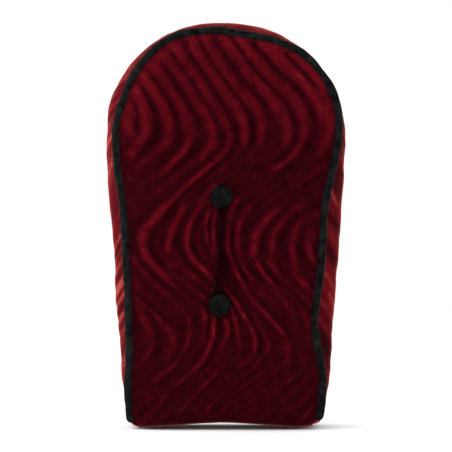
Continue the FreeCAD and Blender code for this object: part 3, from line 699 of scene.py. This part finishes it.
def turned_under(foot_x, foot_z, face_y):
    """The front velvet below its face, as four stacks of rows from its cut edge on: the flap up the board's
    back, the bend round the board, the underside, and the quarter turn that meets the face's lowest row."""
    turn_radius = 10.0
    drawn_in = 0.085
    under_x = foot_x * (1 - drawn_in)
    level = 0 * foot_x
    start_y = face_y + turn_radius
    flap = [
        (under_x, level + FLAP_Y, level + height)
        for height in np.linspace(FLAP_WIDTH, UNDER_Z + BEND_RADIUS + 0.5, 9)
    ]
    bend = [
        (under_x, level + FLAP_Y - BEND_RADIUS * (1 - math.sin(a)),
         level + UNDER_Z + BEND_RADIUS * (1 - math.cos(a)))
        for a in np.linspace(1, 0, 6)[:-1] * math.pi / 2
    ]
    under = [
        (under_x, start_y + (FLAP_Y - BEND_RADIUS - start_y) * share, level + UNDER_Z)
        for share in np.linspace(1, 0, 34)[:-1]
    ]
    turn = [
        (foot_x * (1 - drawn_in * math.sin(a)), face_y + turn_radius * (1 - math.cos(a)),
         foot_z - (foot_z - UNDER_Z) * math.sin(a))
        for a in np.linspace(1, 0, 16)[:-1] * math.pi / 2
    ]
    return [np.moveaxis(np.array(rows), 1, 2) for rows in (flap, bend, under, turn)]


def velvet_front(settings):
    """Front velvet: the stuffed face, its turn under the bottom edge, the underside, the flap up the back."""
    columns, rows = 200, 350
    x, z = front_surface(np.linspace(0, 1, columns), np.linspace(0, 1, rows))
    gap = distance_to_seam(x, z)
    height = crown_height(x, z, gap)
    flap, bend, under, turn = turned_under(x[0], z[0], SEAM_Y - height[0])
    tail = np.concatenate([flap, bend, under, turn])
    points = np.concatenate([tail, np.stack([x, SEAM_Y - height, z], axis=-1)])
    # Relief follows the cloth under the edge: the pattern's height goes on as length along the cloth.
    run = np.concatenate([[0], np.cumsum(np.linalg.norm(np.diff(points[:, columns // 2], axis=0), axis=1))])
    pattern_x, pattern_z = points[..., 0], points[..., 2].copy()
    pattern_z[:len(tail)] = z[0] - (run[len(tail)] - run[:len(tail), None])
    relief, pile_lay_and_painted_light = pressed_waves(pattern_x, pattern_z)
    depth = tuck(pattern_x, pattern_z)[0]
    folds = gathers(pattern_x, pattern_z)
    # The seam holds the velvet flat over the last 8 mm; under the pad it is held nearly as flat.
    near_edge = smooth(np.concatenate([np.full(tail.shape[:2], 6.0), gap]) / 8)
    out = settings.wave_height / MM * relief * (0.35 + 0.65 * near_edge) - depth + 0.6 * folds * near_edge
    out = out + 0.5 * drift(41, 70, pattern_x, pattern_z) * near_edge
    fade = np.concatenate([
        np.full(len(flap), 0.15), np.full(len(bend) + len(under), 0.3),
        0.3 + 0.7 * smooth(np.linspace(0, 1, len(turn))), np.ones(rows)])
    normal = np.cross(np.gradient(points, axis=1), np.gradient(points, axis=0))
    normal = normal / np.maximum(np.linalg.norm(normal, axis=-1, keepdims=True), 1e-9)
    points = lifted(points + normal * (out * fade[:, None])[..., None])
    # Painted sheen lightens the colour beside the piping round the arch, and painted shade darkens it under
    # the pad and round the turn.
    rim = bell(np.concatenate([np.zeros(tail.shape[:2]), gap]) / 20) * smooth((pattern_z - 260) / 60)
    shade = 0.3 + 0.7 * smooth((np.arange(len(points)) - len(tail) + len(turn)) / len(turn))[:, None]
    # Painted shade darkens the tuck between the buttons; the gathers are lightened on their crests as painted
    # highlight and darkened between them as painted shade.
    pile_lay_and_painted_light = np.clip(shade * (pile_lay_and_painted_light - 0.6 * depth / TUCK_DEPTH + 0.12 * folds + 0.14 * rim), 0, 1)
    return grid_object("front_panel_velvet", points, layers={"pile_lay_and_painted_light": pile_lay_and_painted_light})


def shoulder_inset(inset, y):
    """Inset of the boxing at a depth behind the seam: from under the piping it swells to the silhouette as a
    quarter of an ellipse, longer where the piping stands further in, then runs straight back."""
    turn = np.clip((y - SEAM_Y) / (15 + 0.9 * inset), 0, 1)
    return inset * (1 - np.sin(turn * math.pi / 2))


def velvet_boxing(settings):
    """Side boxing: swells from the piping, runs back over the board's edge and turns to a flap behind it."""
    distance = np.linspace(BOXING_OPEN - HALF_GIRTH, HALF_GIRTH - BOXING_OPEN, 900)
    # t runs from the piping (0) to the back edge of the board (1).
    s, t = np.meshgrid(distance, np.linspace(0, 1, 38))
    run = np.abs(s)
    y = SEAM_Y + 1 + (FLAP_Y - BEND_RADIUS - SEAM_Y - 1) * t
    inset = shoulder_inset(seam_inset(s), y)
    # Puckers and stripes of pressed pile cross the boxing at a slant that leans down the back on both sides.
    slant = s - BOXING_SLANT * (y - SEAM_Y) * np.sin(np.clip(s / 110, -1, 1) * math.pi / 2)
    pucker = 0.45 * drift(51, 19, slant, 0.25 * y) + 0.55 * drift(52, 42, slant, 0.2 * y)
    stripe = bell(drift(53, 40, slant, 0.35 * y) / 0.6)
    # Close creases cross the lower left side.
    creases = np.sin(slant * 2 * math.pi / CREASE_PITCH + 0.9 * drift(56, 50, slant))
    creases = creases * bell((outline(s)[1] - 150) / 60) * smooth(-s / 40)
    lumps = 0.5 * drift(54, 75, s) + 1.1 * bell((s + 150) / 16) - 0.9 * bell((s + 172) / 9)
    slack = smooth((t - 0.02) / 0.2) * smooth((1.02 - t) / 0.2)
    out = settings.pucker_depth / MM * 0.45 * pucker * slack + (0.4 * stripe + 0.35 * creases) * slack
    out = out + lumps * smooth(t / 0.3) * (1 - 0.6 * t) - 0.4
    swell = np.where(s < 0, stations(-s, LEFT_SWELL), stations(s, RIGHT_SWELL))
    out = (np.minimum(out, 2.2) + swell * smooth(t / 0.4) * (1 - 0.5 * t)) * smooth((492 - run) / 30)
    bulge = 0.36 * np.sin(math.pi * t) * smooth((460 - run) / 60)
    sunk = 1.3 * smooth((run - END_TUCKED) / 10) * smooth(t / 0.25)
    x, z = inside_outline(s, inset - bulge - out + sunk)
    rows = [np.stack([x, y, z], axis=-1)]
    # Round the back corner, then inwards over the board in shallow pleats, less far at the lower corners.
    flap_y = FLAP_Y - 0.5 * smooth((np.abs(distance) - 420) / 20)
    width = FLAP_WIDTH - 12 * smooth((np.abs(distance) - 400) / 60)
    for angle in np.linspace(0, math.pi / 2, 7)[1:]:
        inwards = BEND_RADIUS * (1 - math.cos(angle))
        flatter = math.cos(inwards / BEND_RADIUS * math.pi / 2)
        x, z = inside_outline(distance, inwards + (sunk - out)[-1] * flatter)
        deep = np.minimum(y[-1] + BEND_RADIUS * math.sin(angle), flap_y)
        rows.append(np.stack([x, deep, z], axis=-1)[None])
    for share in np.linspace(0, 1, 9)[1:]:
        x, z = inside_outline(distance, BEND_RADIUS + (width - BEND_RADIUS) * share)
        pleat = 0.3 * drift(55, 13, distance) * share
        rows.append(np.stack([x, flap_y + np.minimum(pleat, 0.35), z], axis=-1)[None])
    points = lifted(np.concatenate(rows))
    # Painted light: the boxing is lightened overall as painted sheen, puckers and creases are lighter on
    # their crests and darker in their dips as painted highlight and shade, the left side is lighter than the
    # right as if lit from the left, and the painted sheen fades towards the back; the stripes are pressed
    # pile.
    pile_lay_and_painted_light = 0.45 + 0.3 * stripe + 0.22 * pucker + 0.22 * creases - 0.09 * np.clip(s / 200, -1, 1)
    pile_lay_and_painted_light = np.clip(pile_lay_and_painted_light, 0, 1) * (1 - 0.35 * smooth((t - 0.35) / 0.4))
    pile_lay_and_painted_light = np.concatenate([pile_lay_and_painted_light, np.repeat(pile_lay_and_painted_light[-1:], len(points) - len(pile_lay_and_painted_light), axis=0)])
    return grid_object("side_boxing_velvet", points, layers={"pile_lay_and_painted_light": pile_lay_and_painted_light})


def piping_route(along):
    """Middle line of the piping: the sewn line, and at each end a short tail that dives into the seam."""
    s = np.clip(along, -PIPING_END, PIPING_END)
    beyond = np.clip(np.abs(along) - PIPING_END + 3, 0, None)
    dive = beyond * smooth(beyond / 8)
    x, z = inside_outline(s, seam_inset(s) - 0.3 + 0.7 * dive)
    y = SEAM_Y + 0.45 * drift(61, 110, along) + dive
    return lifted(np.stack([x, y, z], axis=-1))


def seam_tube(name, tail, rings, around, nose, radius_at):
    """A closed tube along the piping's route, with a tail past each end that rounds off over the nose's
    length. radius_at gives the radius at distances and angles; each ring lies square to the route."""
    along = np.linspace(-PIPING_END - tail, PIPING_END + tail, rings)
    angle = np.linspace(0, 2 * math.pi, around, endpoint=False)
    s, a = np.meshgrid(along, angle, indexing="ij")
    ends = np.clip((PIPING_END + tail - np.abs(s)) / nose, 0, 1)
    radius = radius_at(s, a) * np.sqrt(1 - (1 - ends) ** 2)
    path = piping_route(along)
    forward = np.gradient(path, axis=0)
    forward /= np.linalg.norm(forward, axis=1, keepdims=True)
    sideways = np.cross(forward, [0.0, 1.0, 0.0])
    sideways /= np.maximum(np.linalg.norm(sideways, axis=1, keepdims=True), 1e-9)
    lengthways = np.cross(sideways, forward)
    ring = np.cos(angle)[:, None] * sideways[:, None] + np.sin(angle)[:, None] * lengthways[:, None]
    return grid_object(name, path[:, None] + ring * radius[..., None], wrap=True, weld=True)


def filler_cord():
    """Cotton cord inside the piping, three strands laid round each other; it stops short of the tails."""
    radius = 2.3

    def radius_at(s, a):
        """Three rounded strands that turn along the cord."""
        return radius + 0.2 * np.abs(np.cos(1.5 * a + s / 3.2))

    return seam_tube("piping_filler_cord", CORD_TAIL, 1400, 18, radius, radius_at)


def piping(settings):
    """Piping: velveteen on the bias round a cord, slightly lumpy with slanting drag wrinkles; its tails end
    in the seam at the lower corners."""
    wobble = settings.piping_wobble / MM

    def radius_at(s, a):
        """Lumps along the piping, with drag wrinkles that slant round it."""
        drag = drift(62, 11, s + 7 * np.sin(a), 3 * np.cos(a))
        return PIPING_RADIUS + wobble * (0.9 * drift(63, 38, s) + 0.45 * drag)

    return seam_tube("piping_velveteen", PIPING_TAIL, 1500, 28, PIPING_RADIUS, radius_at)


def covered_button(name, centre, low_y, high_y, radius, seed):
    """A covered button: a low dome of velveteen drawn over the shell, gathered round its rim and turned in
    behind, as a profile turned about the button's axis."""
    height = high_y - low_y
    rim_height = 2.4
    # Profile from the dome's middle over the rim to the turned-in edge: (radius, distance behind the front).
    swing = np.linspace(0, 1, 26) * math.pi / 2
    down = np.linspace(0, 1, 6)[1:]
    profile_r = np.concatenate([radius * np.sin(swing), radius - 0.6 * down ** 2, [radius - 3, radius - 4.6]])
    profile_y = np.concatenate([
        (height - rim_height) * (1 - np.cos(swing)) ** 0.92, height - rim_height + 2.3 * down,
        [height - 0.05, height - 0.3]])
    angle = np.linspace(0, 2 * math.pi, 72, endpoint=False)
    r, a = np.meshgrid(profile_r, angle, indexing="ij")
    rim = smooth((r / radius - 0.6) / 0.4)
    r = r + 0.16 * rim * np.cos(19 * a + 1.5 * drift(seed, 2.5, a)) + 0.1 * rim * drift(seed + 1, 2.0, a)
    sag = 0.18 * drift(seed + 2, 9, r * np.cos(a), r * np.sin(a)) * (1 - rim)
    y = low_y + profile_y[:, None] + sag
    points = np.stack([centre[0] + r * np.sin(a), y, centre[2] + r * np.cos(a)], axis=-1)
    return grid_object(name, points[::-1], wrap=True, weld=True)


def spread_from(middle, edge_x, edge_z, share):
    """Rings that grow from a middle (place across, height) to an edge."""
    return middle[0] + (edge_x - middle[0]) * share, middle[1] + (edge_z - middle[1]) * share


def layer_surface(front_gap, side_gap, back_y):
    """A surface under the velvet, from the front's middle outwards and back along the sides: rows are rings.
    It lies front_gap behind the front velvet and side_gap inside the boxing, and further in at the tuck."""
    distance = np.linspace(-HALF_GIRTH, HALF_GIRTH, 220, endpoint=False)
    inset = seam_inset(distance)
    edge_x, edge_z = inside_outline(distance, inset + side_gap)
    x, z = spread_from((0.0, MIDDLE_Z), edge_x, edge_z, np.linspace(0, 1, 46)[:, None] ** 0.8)
    away = np.minimum(distance_to_seam(x, z), np.clip(z - 4, 0, None))
    depth, reach, beside = tuck(x, z)
    y = SEAM_Y - crown_height(x, z, away) + depth + 2.5 * reach * bell(beside / 9) + front_gap
    front = np.stack([x, y, z], axis=-1)
    s, t = np.meshgrid(distance, np.linspace(0, 1, 16)[1:])
    y = front[-1, :, 1] + (back_y - front[-1, :, 1]) * t
    x, z = inside_outline(s, shoulder_inset(inset, y) + side_gap + 0.6)
    return lifted(np.concatenate([front, np.stack([x, y, z], axis=-1)]))


def wadding_layer():
    """Wadding: a soft layer over the foam's front and sides, closed along its back edge."""
    outer = layer_surface(2.4, 2.4, BOARD_HIGH[1])
    inner = layer_surface(11.5, 5.6, BOARD_HIGH[1])
    return grid_object("wadding_layer", np.concatenate([outer, inner[::-1]])[:, ::-1], wrap=True, weld=True)


def foam_block():
    """Foam core: rounded over at the front by the stuffed cover, drawn in at the buttons, flat on the
    board."""
    back_y = BOARD_LOW[1] - 0.1
    shell = layer_surface(12.0, 6.3, back_y)
    middle = np.array([0.0, back_y, MIDDLE_Z])
    base = middle + (shell[-1] - middle) * np.linspace(1, 0, 12)[1:, None, None]
    return grid_object("foam_block", np.concatenate([shell, base])[:, ::-1], wrap=True, weld=True)


def back_cloth_sheet():
    """Dust cloth: rings of points shrinking from its cut edge to its middle. A turned hem stands proud at
    the edge, small stretch wrinkles run over the middle, and the points round each bolt hole are moved onto
    its circle."""
    hem_start = 0.93
    distance = np.linspace(-HALF_GIRTH, HALF_GIRTH, 400, endpoint=False)
    edge_x, edge_z = inside_outline(distance, WIDTH / 2 + CLOTH_LOW[0] + 0 * distance)
    share = np.concatenate([np.linspace(0, hem_start, 80), np.linspace(0.935, 1, 10)])[:, None]
    x, z = spread_from((0.0, BOLTS_MIDDLE), edge_x, edge_z, share)
    wrinkle = 0.5 + 0.3 * drift(71, 46, x, 0.3 * z) + 0.2 * drift(72, 16, x, z)
    hem = smooth((share - hem_start) / 0.015)
    y = CLOTH_LOW[1] + 0.1 + 0.3 * np.clip(wrinkle, 0, 1) * (1 - hem) + 0.4 * hem
    cut = np.zeros(x.shape, bool)
    for hole_x in (-BOLTS_ACROSS / 2, BOLTS_ACROSS / 2):
        for hole_z in (BOLTS_MIDDLE - BOLTS_UP / 2, BOLTS_MIDDLE + BOLTS_UP / 2):
            reach = np.maximum(np.hypot(x - hole_x, z - hole_z), 1e-6)
            stretch = np.maximum(BOLT_HOLE / 2 / reach, 1)
            x = hole_x + (x - hole_x) * stretch
            z = hole_z + (z - hole_z) * stretch
            cut |= reach < BOLT_HOLE / 2
    return grid_object("back_cloth_sheet", np.stack([x, y, z], axis=-1), wrap=True, weld=True, cut=cut)


class MakesPieces:
    """Shared by the operators: each makes its pieces from the scene's settings."""

    def execute(self, context):
        self.make(context.scene.back_pad)
        return {"FINISHED"}


class BACKPAD_OT_front(MakesPieces, bpy.types.Operator):
    """Make the front velvet with its crown, dimples, tuck and pressed waves"""

    bl_idname = "backpad.front"
    bl_label = "Front velvet"

    def make(self, settings):
        piece = velvet_front(settings)
        finish_piece(piece, crushed_velvet(settings), ["front_panel"])


class BACKPAD_OT_boxing(MakesPieces, bpy.types.Operator):
    """Make the puckered velvet boxing round the sides"""

    bl_idname = "backpad.boxing"
    bl_label = "Side boxing"

    def make(self, settings):
        piece = velvet_boxing(settings)
        finish_piece(piece, crushed_velvet(settings), ["side_boxing"])


class BACKPAD_OT_piping(MakesPieces, bpy.types.Operator):
    """Make the velveteen piping along the seam, and the cord in it"""

    bl_idname = "backpad.piping"
    bl_label = "Piping"

    def make(self, settings):
        finish_piece(piping(settings), velveteen(settings), ["piping_cover"])
        cord = twisted_fibre("cotton_cord", "#B3A88C", "#E2DAC4", 3.0)
        finish_piece(filler_cord(), cord, ["piping_cord"])


class BACKPAD_OT_buttons(MakesPieces, bpy.types.Operator):
    """Make the two covered buttons"""

    bl_idname = "backpad.buttons"
    bl_label = "Covered buttons"

    def make(self, settings):
        # The buttons get a darker copy of the piping's velveteen, with a lower light stop: painted shade for
        # the dimples they sit in.
        cover = velveteen(settings, "button_velveteen_painted_shade", 3.0)
        for number, (side, centre) in enumerate(BUTTONS.items()):
            low, high = node_box(side + "_button_cover")
            radius = (high[0] - low[0]) / 2
            name = side + "_button_velveteen_painted_shade"
            piece = covered_button(name, centre, low[1], high[1], radius, 81 + 5 * number)
            finish_piece(piece, cover, [side + "_button_cover"])


class BACKPAD_OT_filling(MakesPieces, bpy.types.Operator):
    """Make the wadding and the foam under the cover"""

    bl_idname = "backpad.filling"
    bl_label = "Filling"

    def make(self, settings):
        wadding = finish_piece(wadding_layer(), lofty_wadding(), ["wadding"])
        foam = finish_piece(foam_block(), open_foam(), ["foam_core"])


class BACKPAD_OT_dust_cloth(MakesPieces, bpy.types.Operator):
    """Make the dust cloth stapled over the back"""

    bl_idname = "backpad.dust_cloth"
    bl_label = "Dust cloth"

    def make(self, settings):
        piece = finish_piece(back_cloth_sheet(), dust_cloth(), ["back_cloth"])


class BACKPAD_OT_hardware(MakesPieces, bpy.types.Operator):
    """Give the board, button metal, twines, staples and nuts their materials"""

    bl_idname = "backpad.hardware"
    bl_label = "Board and hardware"

    def make(self, settings):
        aluminium = plated_metal("stamped_aluminium", "#B4B4B2", "#D2D2D0", 0.35)
        steel = plated_metal("zinc_plated_steel", "#9DA0A3", "#BFC3C6", 0.3)
        # By the ending of the node's name.
        finishes = {
            "back_board": birch_plywood(),
            "twine": twisted_fibre("waxed_twine", "#A2936F", "#D9CDAE", 1.5),
            "shell": aluminium,
            "plate": aluminium,
            "loop": steel,
            "staples": steel,
            "t_nuts": steel,
        }
        for node, piece in frame["nodes"].items():
            for ending, material in finishes.items():
                if node.endswith(ending):
                    piece.data.materials.clear()
                    piece.data.materials.append(material)


def area_light(name, place, size, power):
    """A soft rectangular light aimed at the pad's middle; place, width and height are in metres."""
    light = bpy.data.lights.new(name, "AREA")
    light.shape = "RECTANGLE"
    light.size, light.size_y = size
    light.energy = power
    holder = bpy.data.objects.new(name, light)
    bpy.context.scene.collection.objects.link(holder)
    holder.location = place
    aim = Vector((0.0, 0.0, HEIGHT * MM / 2))
    holder.rotation_euler = (aim - holder.location).to_track_quat("-Z", "Y").to_euler()


def paper_sweep():
    """Round floor whose rim curves up into a low wall: a disc, a quarter circle, then straight up."""
    disc, rim, wall_top, below_pad = 3500, 1000, 1800.0, 0.2
    arc = np.linspace(0, math.pi / 2, 24)
    radius = np.concatenate([[0.0], disc + rim * np.sin(arc), [disc + rim]])
    height = np.concatenate([[0.0], rim * (1 - np.cos(arc)), [wall_top]]) - below_pad
    angle = np.linspace(0, 2 * math.pi, 96, endpoint=False)
    x, y = radius[:, None] * np.cos(angle), radius[:, None] * np.sin(angle)
    points = np.stack([x, y, np.broadcast_to(height[:, None], x.shape)], axis=-1)
    return grid_object("floor", points, wrap=True, weld=True)


class BACKPAD_OT_stage(bpy.types.Operator):
    """Make the floor, the lights and the camera"""

    bl_idname = "backpad.stage"
    bl_label = "Stage"

    def execute(self, context):
        scene = context.scene
        stage = scene.back_pad_stage
        floor = paper_sweep()
        floor.data.materials.append(
            new_material("white_paper", Roughness=0.9, Base_Color=tuple(stage.floor_colour) + (1.0,)))
        scene.world = bpy.data.worlds.new("studio")
        scene.world.use_nodes = True
        background = scene.world.node_tree.nodes["Background"].inputs
        background["Color"].default_value = linear("#FFFFFF")
        background["Strength"].default_value = 1.0
        area_light("key", (-0.9, -1.1, 1.5), (1.2, 1.0), 11)
        area_light("side", (-1.6, 0.1, 0.5), (0.5, 1.2), 22)
        area_light("fill", (1.5, -0.6, 0.7), (0.9, 1.2), 5)
        camera = bpy.data.objects.new("camera", bpy.data.cameras.new("camera"))
        scene.collection.objects.link(camera)
        camera.location = (0.0, FRONT_Y * MM - stage.camera_distance, HEIGHT * MM / 2)
        camera.rotation_euler = (math.pi / 2, 0, 0)
        camera.data.lens = stage.lens
        camera.data.sensor_width = 36.0
        camera.data.clip_end = 50
        scene.camera = camera
        scene.view_settings.view_transform = "Standard"
        return {"FINISHED"}


class BACKPAD_PT_panel(bpy.types.Panel):
    """Lists the pad's pieces and settings"""

    bl_idname = "BACKPAD_PT_panel"
    bl_label = "Back Pad"
    bl_space_type = "VIEW_3D"
    bl_region_type = "UI"
    bl_category = "Back Pad"

    def draw(self, context):
        for settings in (context.scene.back_pad, context.scene.back_pad_stage):
            for name in settings.__annotations__:
                self.layout.prop(settings, name)
        for operator in PIECES:
            self.layout.operator(operator.bl_idname)


PIECES = (
    BACKPAD_OT_front,
    BACKPAD_OT_boxing,
    BACKPAD_OT_piping,
    BACKPAD_OT_buttons,
    BACKPAD_OT_filling,
    BACKPAD_OT_dust_cloth,
    BACKPAD_OT_hardware,
    BACKPAD_OT_stage,
)
CLASSES = (BackPadSettings, StageSettings, *PIECES, BACKPAD_PT_panel)


def register():
    """Registers the settings, operators and panel, and hangs the settings on the scene."""
    for item in CLASSES:
        bpy.utils.register_class(item)
    bpy.types.Scene.back_pad = bpy.props.PointerProperty(type=BackPadSettings)
    bpy.types.Scene.back_pad_stage = bpy.props.PointerProperty(type=StageSettings)


def unregister():
    """Takes back what register did."""
    del bpy.types.Scene.back_pad_stage
    del bpy.types.Scene.back_pad
    for item in reversed(CLASSES):
        bpy.utils.unregister_class(item)


def main():
    """Makes every piece in order."""
    register()
    for operator in PIECES:
        group, name = operator.bl_idname.split(".")
        getattr(getattr(bpy.ops, group), name)()


if __name__ == "__main__":
    main()
